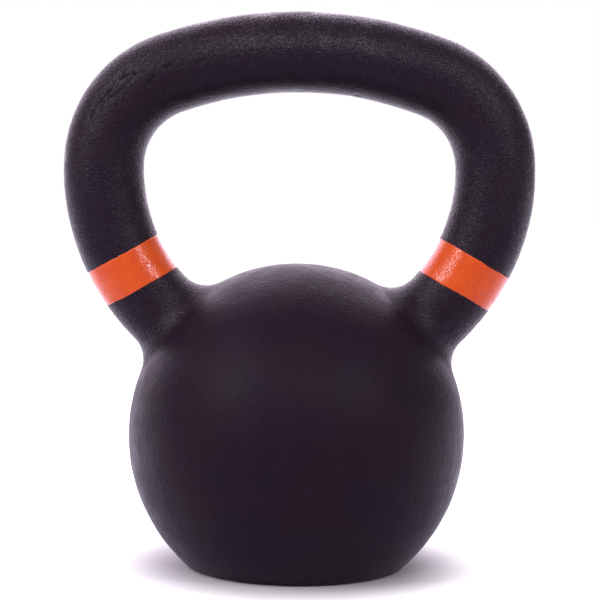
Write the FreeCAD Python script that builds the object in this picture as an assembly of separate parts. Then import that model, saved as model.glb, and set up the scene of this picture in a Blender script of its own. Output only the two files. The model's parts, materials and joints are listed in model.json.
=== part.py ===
import FreeCAD
import Part

import math
import os

from FreeCAD import Placement, Rotation, Vector

# Cast-iron kettlebell: one casting (ball, horns and handle), with a thick painted band round each horn.
# Millimetres. The origin is the middle of the flat base, +Z is up, +X runs along the grip, +Y to the back.

# Ball: an ellipsoid of revolution, cut flat at the base.
BALL_RADIUS = 69.1  # at its widest level
BALL_HALF_HEIGHT = 70.5
BASE_DROP = 54.1  # from the ball's centre down to the base
BASE_EDGE_RADIUS = 4.0
BASE_GAP = 0.001  # an edge that stays within this of the base's plane belongs to the base's rim

# Handle: one even thickness along crown, corner and horn arcs in the plane Y = 0, each tangent to the next.
GRIP_RADIUS = 16.5
CROWN_HEIGHT = 156.5  # of the centreline, above the ball's centre
CROWN_RADIUS = 159.0
CROWN_ANGLE = 19.7  # degrees, from the middle of the grip to the corner
CORNER_RADIUS = 39.7
CORNER_ANGLE = 67.7
HORN_RADIUS = 80.0
HORN_ANGLE = 62.0  # ends inside the ball
HORN_FILLET = 12.0  # between each horn and the ball

# Painted bands: rings round the horns, each between two parallel planes.
BAND_POSITION = 148.7  # along the centreline, from the middle of the grip
BAND_LEAN = 29.5  # degrees, of the ring's axis from the vertical
BAND_WIDTH = 15.6
BAND_THICKNESS = 0.2
BAND_REACH = 20.0  # half the size of the slab that cuts the ring from the horn's skin

ARCS = (
    (CROWN_RADIUS, math.radians(CROWN_ANGLE)),
    (CORNER_RADIUS, math.radians(CORNER_ANGLE)),
    (HORN_RADIUS, math.radians(HORN_ANGLE)),
)
ARC_ENDS = [sum(radius * angle for radius, angle in ARCS[: i + 1]) for i in range(len(ARCS))]
UP = Vector(0, 0, 1)
BACK = Vector(0, 1, 0)


def centreline(position):
    """Point and heading at a distance along the handle from the middle of the grip, negative on the left."""
    point = UP * (BASE_DROP + CROWN_HEIGHT)
    turn = 0.0
    distance = abs(position)
    for radius, angle in ARCS:
        step = min(distance / radius, angle)
        point.x += radius * (math.sin(turn + step) - math.sin(turn))
        point.z += radius * (math.cos(turn + step) - math.cos(turn))
        turn += step
        distance -= radius * step
    heading = Vector(math.cos(turn), 0, -math.sin(turn))
    if position < 0:
        point.x = -point.x
        heading.z = -heading.z
    return point, heading


def tube(stops, radius):
    """Round bar along the centreline, with one arc from each stop to the next."""
    arcs = []
    for start, end in zip(stops, stops[1:]):
        points = [centreline(position)[0] for position in (start, (start + end) / 2, end)]
        arcs.append(Part.Arc(*points).toShape())
    point, heading = centreline(stops[0])
    circle = Part.makeCircle(radius)
    circle.Placement = Placement(point, Rotation(BACK, Vector(), heading, "ZXY"))
    return Part.Wire(arcs).makePipe(Part.Face(Part.Wire(circle)))


def handle():
    return tube([-end for end in reversed(ARC_ENDS)] + ARC_ENDS, GRIP_RADIUS)


def ball():
    """Revolved from its back half's outline, so that its seam is clear of the horns."""
    centre = UP * BASE_DROP
    top = centre + UP * BALL_HALF_HEIGHT
    base_edge = BACK * (BALL_RADIUS * math.sqrt(1.0 - (BASE_DROP / BALL_HALF_HEIGHT) ** 2))
    ellipse = Part.Ellipse(top, centre + BACK * BALL_RADIUS, centre)
    side = Part.Arc(ellipse, ellipse.parameter(top), ellipse.parameter(base_edge)).toShape()
    base = Part.makeLine(base_edge, Vector())
    axis = Part.makeLine(Vector(), top)
    solid = Part.Face(Part.Wire([side, base, axis])).revolve(Vector(), UP, 360)
    rim = [edge for edge in solid.Edges if abs(edge.BoundBox.ZMax) < BASE_GAP]
    return solid.makeFillet(BASE_EDGE_RADIUS, rim)


def casting():
    """Ball and handle in one, with a fillet where each horn grows out of the ball."""
    solid = ball().fuse(handle()).Solids[0]
    ball_top = BASE_DROP + BALL_HALF_HEIGHT
    roots = []
    for edge in solid.Edges:
        box = edge.BoundBox
        on_one_side = box.XMin > 0 or box.XMax < 0
        if on_one_side and box.ZMax < ball_top:
            roots.append(edge)
    return solid.makeFillet(HORN_FILLET, roots)


def color_band(side, iron):
    """Ring that lies on the horn. The side is -1 on the left and 1 on the right."""
    stops = sorted(side * (BAND_POSITION + reach) for reach in (-BAND_REACH, BAND_REACH))
    skin = tube(stops, GRIP_RADIUS + BAND_THICKNESS)
    slab = Part.makeBox(2 * BAND_REACH, 2 * BAND_REACH, BAND_WIDTH)
    slab.translate(Vector(-BAND_REACH, -BAND_REACH, -BAND_WIDTH / 2))
    slab.rotate(Vector(), BACK, side * BAND_LEAN)
    slab.translate(centreline(side * BAND_POSITION)[0])
    return skin.common(slab).cut(iron)


os.makedirs("parts", exist_ok=True)
iron = casting()
nodes = {
    "kettlebell_casting": iron,
    "left_color_band": color_band(-1, iron),
    "right_color_band": color_band(1, iron),
}
for name, shape in nodes.items():
    print(f"{name}: {len(shape.Solids)} solid, valid {shape.isValid()}, {shape.Volume:.0f} mm3")
    shape.Solids[0].exportStep(f"parts/{name}.step")
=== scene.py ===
import json
import math

import bmesh
import bpy
import numpy as np
from mathutils import Matrix, Vector
from mathutils.bvhtree import BVHTree


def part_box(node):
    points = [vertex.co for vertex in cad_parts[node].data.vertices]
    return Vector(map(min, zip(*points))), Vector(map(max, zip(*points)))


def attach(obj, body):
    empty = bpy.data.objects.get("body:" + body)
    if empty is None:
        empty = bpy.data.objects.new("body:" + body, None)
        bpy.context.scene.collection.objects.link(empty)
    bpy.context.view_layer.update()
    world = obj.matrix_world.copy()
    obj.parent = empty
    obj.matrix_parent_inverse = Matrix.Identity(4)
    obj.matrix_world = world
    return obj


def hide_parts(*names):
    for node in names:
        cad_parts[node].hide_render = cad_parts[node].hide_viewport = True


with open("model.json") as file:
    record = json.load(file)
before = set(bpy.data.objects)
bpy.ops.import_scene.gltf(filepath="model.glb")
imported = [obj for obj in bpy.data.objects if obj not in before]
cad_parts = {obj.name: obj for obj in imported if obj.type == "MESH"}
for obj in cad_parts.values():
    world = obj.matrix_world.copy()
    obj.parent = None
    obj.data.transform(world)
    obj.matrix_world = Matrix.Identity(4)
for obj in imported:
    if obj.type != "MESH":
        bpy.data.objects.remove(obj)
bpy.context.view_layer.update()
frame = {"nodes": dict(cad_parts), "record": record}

# Cast-iron kettlebell: one iron casting, powder coated, with a thick orange band painted round each horn.
# Metres. The origin is the middle of the base, +Z is up, +X runs along the grip and the front faces -Y.

MM = 0.001
IRON = "kettlebell_casting"
BANDS = {"left_color_band": -1, "right_color_band": 1}  # with the side of X that each is on

# Handle: the centreline's arcs, as (radius, angle), from the middle of the grip down to the ball.
GRIP_RADIUS = 16.5 * MM
GRIP_HEIGHT = next(m["pos_m"][2] for m in frame["record"]["mounts"] if m["name"] == "grip")
ARCS = (
    (159.0 * MM, math.radians(19.7)),  # crown
    (39.7 * MM, math.radians(67.7)),  # corner
    (80.0 * MM, math.radians(62.0)),  # horn
)


# ---------------------------------------------------------------- arrays

def coords(mesh):
    values = np.empty(len(mesh.vertices) * 3)
    mesh.vertices.foreach_get("co", values)
    return values.reshape(-1, 3)


def set_coords(mesh, points):
    mesh.vertices.foreach_set("co", np.ascontiguousarray(points, np.float32).ravel())
    mesh.update()


def normals(mesh):
    values = np.empty(len(mesh.vertices) * 3, np.float32)
    mesh.vertex_normals.foreach_get("vector", values)
    return values.reshape(-1, 3).astype(float)


def edge_pairs(mesh):
    values = np.empty(len(mesh.edges) * 2, np.int32)
    mesh.edges.foreach_get("vertices", values)
    return values.reshape(-1, 2)


def surface_tree(mesh):
    return BVHTree.FromPolygons([v.co for v in mesh.vertices], [tuple(p.vertices) for p in mesh.polygons])


class Neighbours:
    """Averages of a value over each vertex's neighbours."""

    def __init__(self, mesh):
        self.a, self.b = edge_pairs(mesh).T
        self.size = len(mesh.vertices)
        self.count = np.bincount(self.a, minlength=self.size) + np.bincount(self.b, minlength=self.size)

    def mean(self, values):
        if values.ndim == 2:
            return np.stack([self.mean(column) for column in values.T], 1)
        total = np.bincount(self.a, values[self.b], self.size)
        total += np.bincount(self.b, values[self.a], self.size)
        return total / self.count

    def smooth(self, values, rounds, share=0.5):
        for _ in range(rounds):
            values = values + share * (self.mean(values) - values)
        return values


def fade(t):
    return t * t * t * (t * (6 * t - 15) + 10)


def noise(points, size, seed):
    """Smooth random values from -1 to 1, on a lattice of that size."""
    cells = points / size
    corner = np.floor(cells).astype(int)
    t = fade(cells - corner)
    corner -= corner.min(0)
    lattice = np.random.default_rng(seed).uniform(-1, 1, corner.max(0) + 2)
    total = np.zeros(len(points))
    for dx in (0, 1):
        for dy in (0, 1):
            for dz in (0, 1):
                weight = np.ones(len(points))
                for axis, step in enumerate((dx, dy, dz)):
                    weight *= t[:, axis] if step else 1 - t[:, axis]
                total += weight * lattice[corner[:, 0] + dx, corner[:, 1] + dy, corner[:, 2] + dz]
    return total


def ramp(values, low, high):
    """0 at low and 1 at high, with a smooth rise between them."""
    return fade(np.clip((values - low) / (high - low), 0, 1))


def within(values, full, none):
    """1 up to full and 0 from none on, with a smooth fall between them."""
    return ramp(-values, -none, -full)


def bell(values, width):
    return np.exp(-((values / width) ** 2))


# ---------------------------------------------------------------- handle coordinates

def handle_coords(points):
    """For each point: distance along the centreline (negative on the left), angle round it
    (0 outside, a quarter turn at the front) and distance from it."""
    x, y, z = np.abs(points[:, 0]), points[:, 1], points[:, 2]
    centre = np.array([0.0, GRIP_HEIGHT - ARCS[0][0]])
    turn, passed = 0.0, 0.0
    along, across = np.zeros(len(x)), np.zeros(len(x))
    for i, (radius, angle) in enumerate(ARCS):
        bearing = np.arctan2(x - centre[0], z - centre[1])
        here = bearing >= turn
        along[here] = passed + radius * (bearing[here] - turn)
        across[here] = np.hypot(x - centre[0], z - centre[1])[here] - radius
        turn += angle
        passed += radius * angle
        if i + 1 < len(ARCS):
            centre = centre + (radius - ARCS[i + 1][0]) * np.array([math.sin(turn), math.cos(turn)])
    return np.sign(points[:, 0]) * along, np.arctan2(-y, across), np.hypot(across, y)


# ---------------------------------------------------------------- the casting's mesh

VOXEL = 1.25 * MM  # the even grid
SEAM_ZONE = 2.2 * MM  # half the width of the strip along the parting line that has a finer grid
SEAM_END = 8 * MM  # height above the base at which that strip ends
FINE_FOLD = 0.02 * MM  # folds deeper than this have the finer grid too
SAME_PLACE = 1e-7  # vertices this close together are joined
GRID_SMOOTHING = 10  # rounds that take away the grid's steps
FIT_PASSES = 3
FIT_SMOOTHING = 4  # rounds in each pass


def new_object(name, mesh):
    piece = bpy.data.objects.new(name, mesh)
    bpy.context.scene.collection.objects.link(piece)
    return piece


def merged_copy(node):
    """The CAD node's mesh with its split vertices joined."""
    mesh = frame["nodes"][node].data.copy()
    bm = bmesh.new()
    bm.from_mesh(mesh)
    bmesh.ops.remove_doubles(bm, verts=bm.verts, dist=SAME_PLACE)
    bm.to_mesh(mesh)
    bm.free()
    return mesh


def even_grid(source):
    """The source's shape as an even grid of quads."""
    helper = new_object("helper", source)
    remesh = helper.modifiers.new("even", "REMESH")
    remesh.mode = "VOXEL"
    remesh.voxel_size = VOXEL
    bpy.context.view_layer.update()
    shaped = helper.evaluated_get(bpy.context.evaluated_depsgraph_get())
    mesh = bpy.data.meshes.new_from_object(shaped)
    bpy.data.objects.remove(helper)
    return mesh


def refine(mesh, wanted):
    """Splits the edges whose two ends are both wanted."""
    bm = bmesh.new()
    bm.from_mesh(mesh)
    bm.verts.ensure_lookup_table()
    chosen = [e for e in bm.edges if wanted[e.verts[0].index] and wanted[e.verts[1].index]]
    bmesh.ops.subdivide_edges(bm, edges=chosen, cuts=1, use_grid_fill=True)
    bm.to_mesh(mesh)
    bm.free()


def fit(mesh, source):
    """Smooths the grid's steps away and brings it back onto the source's surface."""
    around = Neighbours(mesh)
    target = surface_tree(source)
    points = around.smooth(coords(mesh), GRID_SMOOTHING)
    for _ in range(FIT_PASSES):
        set_coords(mesh, points)
        outward = normals(mesh)
        nearest = np.array([target.find_nearest(p)[0] for p in points])
        offset = ((nearest - points) * outward).sum(1)
        points = points + outward * around.smooth(offset, FIT_SMOOTHING)[:, None]
    set_coords(mesh, points)


# ---------------------------------------------------------------- the cast skin's relief

CREASES = (
    # cast folds that run along the handle, in mm and degrees:
    # (start, end, angle, drift over its length, depth)
    (-90, -58, 66, 8, 0.42),
    (-86, -60, 73, 6, 0.32),
    (-80, -66, 59, 5, 0.26),
    (-66, -48, 88, -7, 0.40),
    (-62, -46, 80, -6, 0.26),
    (-50, -34, 86, -5, 0.34),
    (-44, -30, 79, -3, 0.22),
    (-30, -9, 75, 3, 0.22),
    (-14, 26, 57, -4, 0.07),
    (60, 84, 70, 9, 0.07),
    (-70, -20, 110, 6, 0.05),
    (-60, -34, -70, -6, 0.14),
    (22, 64, -84, 7, 0.12),
    (70, 92, -60, 8, 0.10),
    (-20, 8, -112, 5, 0.08),
)
CREASE_HALF_WIDTH = 0.50 * MM
CREASE_WANDER = 1.1 * MM  # how far a fold strays to either side
CREASE_TAPER = 0.15  # share of its length over which each end fades out
DEEP_FOLD = 0.32 * MM  # from this depth on, a fold's painted shade is at its darkest and its coat at its dullest

MARKS = (
    # small dents left by the mould and by handling, in mm: (place, radius, depth)
    ((22.9, -5.0, 193.4), 1.3, 0.50),
    ((-1.5, -3.0, 194.3), 1.1, 0.40),
    ((-10.0, -45.0, 2.0), 2.0, 0.60),
    ((69.5, -6.0, 95.0), 1.8, 0.45),
    ((-62.0, 8.0, 92.0), 2.2, 0.35),
    ((-88.0, -9.0, 160.0), 1.6, 0.22),
    ((30.0, 9.0, 192.5), 1.5, 0.35),
    ((48.0, 46.0, 60.0), 3.0, 0.22),
    ((-20.0, 61.0, 72.0), 2.4, 0.20),
    ((12.0, 12.0, 221.5), 1.8, 0.22),
)

SWELLS = (
    # how uneven the skin is, from broad swells to ripples: (height, size, seed)
    (0.10 * MM, 24 * MM, 1),
    (0.055 * MM, 10 * MM, 2),
    (0.03 * MM, 4.5 * MM, 3),
)
HANDLE_SWELL = 0.035 * MM
SEAM_HEIGHT = 0.11 * MM
SEAM_HALF_WIDTH = 0.7 * MM
SEAM_WANDER = 0.25 * MM  # how far the parting line strays to either side
GROUND_DEPTH = 0.05 * MM  # how far the handle's outer side is ground down along the parting line
GROUND_HALF_WIDTH = 4 * MM
PIT_DEPTH = 0.06 * MM  # of the pits in the base

RELIEF_SINK = 0.13 * MM  # how far the skin lies inside the drawn shape on average
HIGHEST = -0.005 * MM  # no swell comes nearer to the drawn shape than this
SOFT_TOP = 0.02 * MM  # depth below HIGHEST over which swells flatten out


def crease_depth(points, along, angle, reach):
    depth = np.zeros(len(points))
    on_line = np.stack([along, along * 0, along * 0], 1)
    for i, (start, end, middle, drift, deep) in enumerate(CREASES):
        share = (along - start * MM) / ((end - start) * MM)
        wander = CREASE_WANDER * noise(on_line, 5 * MM, 40 + i)
        line = np.radians(middle + drift * (share - 0.5))
        off = reach * (angle - line) + wander
        broken = ramp(noise(points, 2.8 * MM, 60 + i), -0.25, 0.35)
        ends = ramp(share, 0, CREASE_TAPER) * ramp(1 - share, 0, CREASE_TAPER)
        depth += deep * MM * bell(off, CREASE_HALF_WIDTH) * broken * ends
    return depth * within(reach, 18 * MM, 20 * MM)


def mark_depth(points):
    depth = np.zeros(len(points))
    for place, radius, deep in MARKS:
        away = np.linalg.norm(points - np.array(place) * MM, axis=1)
        depth += deep * MM * bell(away, radius * MM)
    return depth


def seam_ridge(points):
    """The low ridge where the mould's halves met. It strays a little and is worn away in places."""
    left = ramp(noise(points, 14 * MM, 5), -0.5, 0.4)
    off = points[:, 1] + SEAM_WANDER * noise(points, 9 * MM, 6)
    return SEAM_HEIGHT * left * bell(off, SEAM_HALF_WIDTH)


def ground_depth(points, angle, on_handle):
    outer_side = within(np.abs(angle), 0.6, 1.0)
    return GROUND_DEPTH * on_handle * bell(points[:, 1], GROUND_HALF_WIDTH) * outer_side


def relief(points, outward):
    """For each point: how far the cast skin lies off the drawn shape (0 or below), how much of a fold it is
    and how much it belongs to the handle (both from 0 to 1)."""
    along, angle, reach = handle_coords(points)
    on_handle = within(reach, 17.2 * MM, 19 * MM)
    height = sum(swell * noise(points, size, seed) for swell, size, seed in SWELLS)
    height += on_handle * HANDLE_SWELL * noise(points, 6.5 * MM, 4)
    height += seam_ridge(points)
    height -= ground_depth(points, angle, on_handle)
    height = HIGHEST - SOFT_TOP * np.logaddexp(0, (HIGHEST - height + RELIEF_SINK) / SOFT_TOP)
    on_base = ramp(-outward[:, 2], 0.90, 0.995) * within(points[:, 2], 0.3 * MM, 1.5 * MM)
    pitted = -PIT_DEPTH * ramp(noise(points, 3.0 * MM, 7), 0.2, 0.9)
    creased = crease_depth(points, along, angle, reach)
    height = height * (1 - on_base) + pitted * on_base - creased - mark_depth(points)
    return height, np.clip(creased / DEEP_FOLD, 0, 1), within(reach, 17.5 * MM, 23 * MM)


def make_casting():
    source = merged_copy(IRON)
    mesh = even_grid(source.copy())
    points = coords(mesh)
    along, angle, reach = handle_coords(points)
    at_seam = (np.abs(points[:, 1]) < SEAM_ZONE) & (points[:, 2] > SEAM_END)
    creased = crease_depth(points, along, angle, reach) > FINE_FOLD
    refine(mesh, at_seam | creased)
    fit(mesh, source)
    points, outward = coords(mesh), normals(mesh)
    height, fold, handle = relief(points, outward)
    set_coords(mesh, points + outward * height[:, None])
    for name, values in (("fold", fold), ("handle", handle)):
        mesh.attributes.new(name, "FLOAT", "POINT").data.foreach_set("value", values.astype(np.float32))
    low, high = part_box(IRON)
    set_coords(mesh, np.clip(coords(mesh), np.array(low), np.array(high)))
    mesh.shade_smooth()
    mesh.materials.clear()
    piece = new_object("iron_casting", mesh)
    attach(piece, "root")
    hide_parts(IRON)
    return piece


# ---------------------------------------------------------------- painted bands

BAND_LEAN = math.radians(29.5)  # of the ring's axis from the vertical
BAND_WIDTH = 15.6 * MM
PAINT = 0.16 * MM  # from the paint's edge to its face
PAINT_EDGE = 0.5 * MM  # over which the paint thins out to its edge
EDGE_SINK = 0.02 * MM  # how far that edge lies below the skin
PAINT_ROOT = 0.5 * MM  # how far the ring's hidden inner side lies below the skin
RING_STEPS = 320
WIDTH_STEPS = 30


def edge_waver(circle, seed):
    """How far the edge of a band strays along the horn, round the whole ring."""
    return 0.22 * MM * noise(circle, 7 * MM, 20 + seed) + 0.08 * MM * noise(circle, 1.8 * MM, 30 + seed)


def band_points(node, side, iron):
    """The outer and inner points of a ring of paint on the casting's skin, row after row round it."""
    low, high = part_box(node)
    centre = (low + high) / 2
    lean = side * BAND_LEAN
    axis = Vector((math.sin(lean), 0, math.cos(lean)))
    outside = Vector((math.cos(lean), 0, -math.sin(lean)))
    front = Vector((0, -1, 0))
    skin = surface_tree(iron.data)
    turns = np.linspace(0, 2 * math.pi, RING_STEPS, endpoint=False)
    circle = np.stack([np.cos(turns), np.sin(turns), turns * 0], 1) * GRIP_RADIUS
    bottoms = -BAND_WIDTH / 2 + edge_waver(circle, 2 * side)
    tops = BAND_WIDTH / 2 + edge_waver(circle, 2 * side + 1)
    outer, inner = [], []
    for turn, bottom, top in zip(turns, bottoms, tops):
        ray = outside * math.cos(turn) + front * math.sin(turn)
        for step in range(WIDTH_STEPS + 1):
            # closer together near both edges
            share = 0.5 - 0.5 * math.cos(math.pi * step / WIDTH_STEPS)
            level = bottom + (top - bottom) * share
            start = centre + axis * level
            hit = skin.ray_cast(start + ray * 3 * GRIP_RADIUS, -ray, 4 * GRIP_RADIUS)[0]
            room = max(0.0, min(level - bottom, top - level))
            swell = math.sqrt(1 - (1 - min(room / PAINT_EDGE, 1)) ** 2)
            outer.append(hit + ray * (PAINT * swell - EDGE_SINK))
            inner.append(hit - ray * PAINT_ROOT)
    return outer, inner


def band_faces():
    """Quads that join the outer points, then the inner points, and close both edges of the ring."""
    rows = WIDTH_STEPS + 1
    size = RING_STEPS * rows
    faces = []
    for i in range(RING_STEPS):
        a = i * rows
        b = (i + 1) % RING_STEPS * rows
        for j in range(WIDTH_STEPS):
            faces.append((a + j, b + j, b + j + 1, a + j + 1))
            faces.append((size + a + j, size + a + j + 1, size + b + j + 1, size + b + j))
        faces.append((a, size + a, size + b, b))
        faces.append((a + rows - 1, b + rows - 1, size + b + rows - 1, size + a + rows - 1))
    return faces


def make_band(node, side, iron):
    """A closed ring of paint on one horn."""
    outer, inner = band_points(node, side, iron)
    mesh = bpy.data.meshes.new(node + "_paint")
    mesh.from_pydata(outer + inner, [], band_faces())
    bm = bmesh.new()
    bm.from_mesh(mesh)
    bmesh.ops.recalc_face_normals(bm, faces=bm.faces)
    bm.to_mesh(mesh)
    bm.free()
    mesh.shade_smooth()
    piece = new_object(node + "_paint", mesh)
    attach(piece, "root")
    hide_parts(node)
    return piece


# ---------------------------------------------------------------- materials

IRON_VIOLET = (0.0108, 0.0065, 0.0116)
IRON_WARM = (0.0122, 0.0071, 0.0108)
IRON_BLOTCH = (0.0150, 0.0094, 0.0160)
# the dark colour of the painted shade in the folds
IRON_FOLD_PAINTED_SHADE = (0.005, 0.003, 0.006)

ENAMEL_DEEP = (0.53, 0.064, 0.004)
ENAMEL_BRIGHT = (0.59, 0.080, 0.006)
ENAMEL_PITS = (0.44, 0.043, 0.002)

FLOOR_TONES = ((0.49, 0.49, 0.49), (0.51, 0.51, 0.51))
MIRRORED_FRONT = (0.34, 0.33, 0.40)
MIRRORED_BACK = (0.72, 0.71, 0.82)
SWEEP_LIGHT = (0.95, 0.90, 1.0, 1)


class Graph:
    """A material's nodes, each made by one call."""

    def __init__(self, name):
        self.material = bpy.data.materials.new(name)
        self.material.use_nodes = True
        self.tree = self.material.node_tree
        self.shader = self.tree.nodes["Principled BSDF"]

    def node(self, kind, inputs=None, **settings):
        made = self.tree.nodes.new(kind)
        for key, value in settings.items():
            setattr(made, key, value)
        for key, value in (inputs or {}).items():
            if isinstance(value, bpy.types.NodeSocket):
                self.tree.links.new(value, made.inputs[key])
            else:
                made.inputs[key].default_value = value
        return made

    def place(self):
        return self.node("ShaderNodeTexCoord").outputs["Object"]

    def attribute(self, name):
        return self.node("ShaderNodeAttribute", attribute_name=name).outputs["Fac"]

    def axes(self, place):
        return self.node("ShaderNodeSeparateXYZ", {"Vector": place}).outputs

    def noise(self, where, size, detail=2.0, rough=0.5):
        return self.node("ShaderNodeTexNoise", {
            "Vector": where, "Scale": 1 / size, "Detail": detail, "Roughness": rough,
        }).outputs["Fac"]

    def cells(self, where, size):
        return self.node("ShaderNodeTexVoronoi", {
            "Vector": where, "Scale": 1 / size, "Randomness": 1.0,
        }, feature="SMOOTH_F1").outputs["Distance"]

    def remap(self, value, low, high, to_low=0.0, to_high=1.0):
        return self.node("ShaderNodeMapRange", {
            "Value": value, "From Min": low, "From Max": high, "To Min": to_low, "To Max": to_high,
        }, interpolation_type="SMOOTHSTEP").outputs["Result"]

    def blend(self, share, first, second):
        made = self.node("ShaderNodeMix", {"Factor": share}, data_type="RGBA")
        for index, colour in ((6, first), (7, second)):
            if isinstance(colour, bpy.types.NodeSocket):
                self.tree.links.new(colour, made.inputs[index])
            else:
                made.inputs[index].default_value = (*colour, 1)
        return made.outputs[2]

    def math(self, operation, first, second):
        return self.node("ShaderNodeMath", {0: first, 1: second}, operation=operation).outputs[0]

    def bump(self, height, distance, under=None):
        inputs = {"Height": height, "Distance": distance, "Strength": 1.0}
        if under is not None:
            inputs["Normal"] = under
        return self.node("ShaderNodeBump", inputs).outputs["Normal"]

    def set(self, **sockets):
        for key, value in sockets.items():
            socket = self.shader.inputs[key.replace("_", " ")]
            if isinstance(value, bpy.types.NodeSocket):
                self.tree.links.new(value, socket)
            else:
                socket.default_value = value


def iron_burnish(g, place, handle):
    """Where hands have polished the coat: most on top of the handle, in the middle of the grip."""
    axes = g.axes(place)
    middle = g.remap(g.math("ABSOLUTE", axes["X"], 0.0), 48 * MM, 26 * MM, 0.30, 1.0)
    top = g.remap(axes["Z"], 205 * MM, 215 * MM, 0.15, 1.0)
    patchy = g.remap(g.noise(place, 13 * MM, 3), 0.40, 0.60, 0.25, 1.0)
    held = g.math("MULTIPLY", g.math("MULTIPLY", handle, middle), top)
    return g.math("MULTIPLY", held, patchy)


def iron_material():
    """Black powder coat: finely pebbled, dull in the folds with painted shade darkening them, and with a
    satin gloss on the handle.
    """
    g = Graph("powder_coated_iron")
    place = g.place()
    fold = g.attribute("fold")
    handle = g.attribute("handle")
    burnish = iron_burnish(g, place, handle)
    patches = g.noise(place, 28 * MM, 3)
    blotches = g.noise(place, 7 * MM, 3)
    peel = g.noise(place, 3.4 * MM, 2)
    pebble = g.noise(place, 0.75 * MM, 2, 0.6)
    grains = g.cells(place, 1.05 * MM)

    colour = g.blend(g.remap(patches, 0.40, 0.66), IRON_VIOLET, IRON_WARM)
    colour = g.blend(g.remap(blotches, 0.55, 0.75, 0, 0.4), colour, IRON_BLOTCH)
    # painted shade: the colour darkens into the folds, the deeper the fold the darker
    colour = g.blend(g.math("MULTIPLY", fold, 0.7), colour, IRON_FOLD_PAINTED_SHADE)

    rough = g.remap(blotches, 0.3, 0.7, 0.38, 0.46)
    rough = g.math("ADD", rough, g.math("MULTIPLY", fold, 0.3))
    rough = g.math("SUBTRACT", rough, g.math("MULTIPLY", burnish, 0.10))

    satin = g.math("ADD", g.math("MULTIPLY", handle, 0.19), g.math("MULTIPLY", burnish, 0.30))
    satin = g.math("MULTIPLY", satin, g.remap(pebble, 0.42, 0.60, 0.25, 1.85))
    satin = g.math("MULTIPLY", satin, g.math("SUBTRACT", 1.0, fold))

    surface = g.bump(peel, 0.10 * MM)
    surface = g.bump(grains, -0.10 * MM, surface)
    surface = g.bump(pebble, 0.17 * MM, surface)
    glaze = g.bump(pebble, 0.16 * MM, surface)
    g.set(Base_Color=colour, Roughness=rough, Normal=surface, Specular_IOR_Level=0.055)
    g.set(Coat_Weight=satin, Coat_Roughness=0.24, Coat_IOR=1.4, Coat_Normal=glaze)
    return g.material


def enamel_material():
    """Glossy orange enamel, brushed over the pebble of the coat."""
    g = Graph("orange_enamel")
    place = g.place()
    patches = g.noise(place, 6 * MM, 3)
    brushed = g.noise(place, 2.4 * MM, 2)
    pebble = g.noise(place, 0.70 * MM, 2, 0.55)

    colour = g.blend(g.remap(patches, 0.3, 0.7), ENAMEL_DEEP, ENAMEL_BRIGHT)
    colour = g.blend(g.remap(pebble, 0.40, 0.65, 0.0, 0.5), colour, ENAMEL_PITS)
    rough = g.remap(patches, 0.3, 0.7, 0.30, 0.38)
    gloss = g.remap(pebble, 0.38, 0.58, 0.25, 1.0)

    surface = g.bump(brushed, 0.06 * MM)
    surface = g.bump(pebble, 0.12 * MM, surface)
    g.set(Base_Color=colour, Roughness=rough, Normal=surface, Specular_IOR_Level=0.10)
    g.set(Coat_Weight=gloss, Coat_Roughness=0.04, Coat_IOR=1.40, Coat_Normal=surface)
    return g.material


def floor_material():
    """White to the camera, with a soft contact shadow whose outer edge is painted: an emission that rises
    away from the middle paints the floor white beyond it. In the object's reflections it is grey in front,
    and a bright sweep behind."""
    g = Graph("pale_floor")
    place = g.place()
    away = g.node("ShaderNodeVectorMath", {0: place}, operation="LENGTH").outputs["Value"]
    behind = g.axes(place)["Y"]

    tone = g.blend(g.noise(place, 0.4, 2), *FLOOR_TONES)
    # painted light: the floor glows more and more from 48 mm to 92 mm from the middle, which whitens it away
    # from the base and ends the contact shadow there
    painted_floor_glow = g.remap(away, 48 * MM, 92 * MM, 0.0, 0.9)
    g.set(Base_Color=tone, Roughness=0.9, Specular_IOR_Level=0.0)
    g.set(Emission_Color=(1, 1, 1, 1), Emission_Strength=painted_floor_glow)

    grey = g.blend(g.remap(behind, -280 * MM, -100 * MM), MIRRORED_FRONT, MIRRORED_BACK)
    dull = g.node("ShaderNodeBsdfDiffuse", {"Color": grey}).outputs[0]
    rising = g.remap(behind, -60 * MM, 160 * MM, 0.0, 1.5)
    sweep = g.node("ShaderNodeEmission", {"Color": SWEEP_LIGHT, "Strength": rising}).outputs[0]
    mirrored = g.node("ShaderNodeAddShader", {0: dull, 1: sweep}).outputs[0]

    seen = g.node("ShaderNodeLightPath").outputs["Is Camera Ray"]
    mix = g.node("ShaderNodeMixShader", {"Fac": seen, 1: mirrored, 2: g.shader.outputs[0]}).outputs[0]
    g.tree.links.new(mix, g.tree.nodes["Material Output"].inputs["Surface"])
    return g.material


# ---------------------------------------------------------------- studio

FLOOR_REACH = 4.0  # from its middle to each side
TENT_COLOUR = (1.0, 0.89, 1.02, 1)
TENT_BRIGHTNESS = 0.58
SOFTBOXES = (
    # (name, place, point it faces, width, height, brightness, colour)
    ("back_wall", (-0.15, 1.1, 0.72), (-0.03, 0, 0.12), 2.35, 1.4, 2.95, (1.0, 0.84, 1.05)),
    ("front_high", (0.09, -0.9, 0.80), (0, 0, 0.18), 0.55, 0.28, 7.0, (0.95, 0.88, 1.02)),
    ("left_high", (-0.84, -0.48, 1.02), (-0.05, 0, 0.15), 0.7, 0.28, 9.5, (1.0, 0.88, 1.02)),
    ("front_left", (-0.84, -0.71, 0.67), (0, 0, 0.12), 0.15, 0.50, 25.0, (1.0, 0.90, 1.0)),
    ("front_right", (0.82, -0.73, 0.72), (0, 0, 0.12), 0.14, 0.40, 28.0, (1.0, 0.90, 1.0)),
)
CAMERA_PLACE = (0.79 * MM, -818.4 * MM, 170.7 * MM)
CAMERA_DOWN = math.radians(4.278)  # below the level
CAMERA_ROLL = math.radians(0.70)


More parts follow.
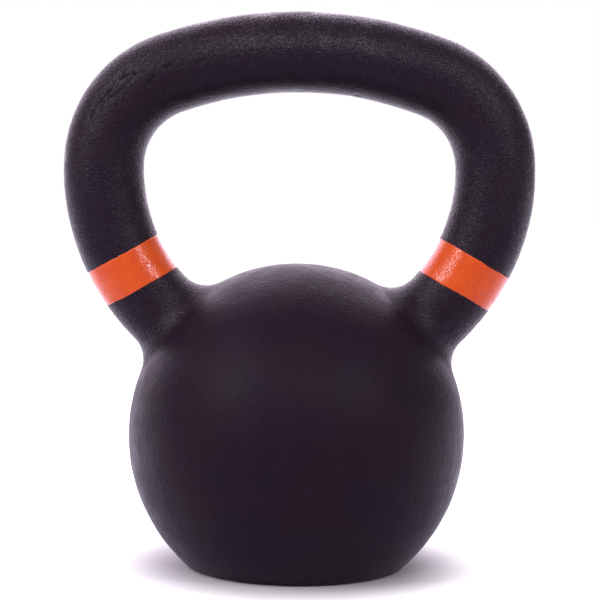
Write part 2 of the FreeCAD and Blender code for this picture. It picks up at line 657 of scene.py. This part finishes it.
def make_floor():
    bm = bmesh.new()
    bmesh.ops.create_grid(bm, x_segments=8, y_segments=8, size=FLOOR_REACH)
    mesh = bpy.data.meshes.new("floor")
    bm.to_mesh(mesh)
    bm.free()
    floor = new_object("floor", mesh)
    mesh.materials.append(floor_material())


def make_softbox(name, place, target, width, height, brightness, colour):
    """A rectangular light whose face has that brightness, where 1 is white."""
    light = bpy.data.lights.new(name, "AREA")
    light.shape = "RECTANGLE"
    light.size = width
    light.size_y = height
    light.energy = brightness * width * height * math.pi
    light.color = colour
    lamp = new_object(name, light)
    lamp.location = place
    lamp.rotation_mode = "QUATERNION"
    lamp.rotation_quaternion = (Vector(target) - Vector(place)).to_track_quat("-Z", "Y")
    lamp.visible_camera = False


def make_world():
    """White to the camera, and a dimmer tent of light to everything else."""
    world = bpy.data.worlds.new("studio")
    world.use_nodes = True
    tree = world.node_tree
    seen = tree.nodes["Background"]
    seen.inputs["Color"].default_value = (1, 1, 1, 1)
    seen.inputs["Strength"].default_value = 1.0
    tent = tree.nodes.new("ShaderNodeBackground")
    tent.inputs["Color"].default_value = TENT_COLOUR
    tent.inputs["Strength"].default_value = TENT_BRIGHTNESS
    mix = tree.nodes.new("ShaderNodeMixShader")
    ray = tree.nodes.new("ShaderNodeLightPath")
    tree.links.new(ray.outputs["Is Camera Ray"], mix.inputs["Fac"])
    tree.links.new(tent.outputs[0], mix.inputs[1])
    tree.links.new(seen.outputs[0], mix.inputs[2])
    tree.links.new(mix.outputs[0], tree.nodes["World Output"].inputs["Surface"])
    bpy.context.scene.world = world


def make_camera():
    data = bpy.data.cameras.new("camera")
    data.lens = 120.0
    data.sensor_width = 36.0
    data.clip_start = 0.01
    data.clip_end = 50
    camera = new_object("camera", data)
    tilt = Matrix.Rotation(math.radians(90) - CAMERA_DOWN, 4, "X")
    camera.matrix_world = Matrix.Translation(CAMERA_PLACE) @ tilt @ Matrix.Rotation(CAMERA_ROLL, 4, "Z")
    bpy.context.scene.camera = camera


casting = make_casting()
casting.data.materials.append(iron_material())
enamel = enamel_material()
for node, side in BANDS.items():
    make_band(node, side, casting).data.materials.append(enamel)

make_floor()
make_world()
make_camera()
for softbox in SOFTBOXES:
    make_softbox(*softbox)
bpy.context.scene.view_settings.view_transform = "Standard"
